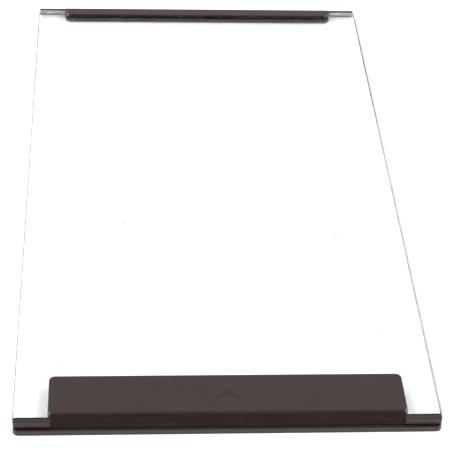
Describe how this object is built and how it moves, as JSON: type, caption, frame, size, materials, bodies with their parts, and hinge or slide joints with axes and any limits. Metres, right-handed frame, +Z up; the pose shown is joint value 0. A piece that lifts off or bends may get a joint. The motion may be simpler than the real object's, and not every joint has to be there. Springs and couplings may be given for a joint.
{
  "type": "glass negative carrier",
  "caption": "Hinged glass negative carrier: film lies flat between clear panes held in dark moulded end rails, with a finger grip on the lid and a hinge at the far end.",
  "frame": {"origin": "centre of the bounding box in plan, on the plane that the base stands on", "axes": "+X to the right across the carrier, +Y from the finger grip towards the hinge, +Z up"},
  "size_m": [0.24, 0.4398, 0.0107],
  "materials": {
    "rail_plastic": "semi-gloss dark brown moulding",
    "pane_glass": "clear polished float glass with ground edges",
    "bond_tape": "matte double-sided bonding tape",
    "shim_rubber": "matte black",
    "pin_steel": "drawn steel"
  },
  "bodies": {
    "base": {"lower_glass": "pane_glass", "front_base_rail": "rail_plastic", "rear_base_rail": "rail_plastic", "front_base_tape": "bond_tape", "rear_base_tape": "bond_tape", "base_shim_front_left": "shim_rubber", "base_shim_front_right": "shim_rubber", "base_shim_rear_left": "shim_rubber", "base_shim_rear_right": "shim_rubber", "hinge_pin_left": "pin_steel", "hinge_pin_right": "pin_steel"},
    "lid": {"upper_glass": "pane_glass", "front_grip": "rail_plastic", "rear_lid_rail": "rail_plastic", "front_lid_tape": "bond_tape", "rear_lid_tape": "bond_tape", "lid_shim_front_left": "shim_rubber", "lid_shim_front_right": "shim_rubber", "lid_shim_rear_left": "shim_rubber", "lid_shim_rear_right": "shim_rubber"}
  },
  "joints": [
    {"name": "lid_hinge", "type": "hinge", "parent": "base", "child": "lid", "pos_m": [0, 0.21794, 0.00455], "axis": [-1, 0, 0], "range_deg": [0, 100]}
  ]
}
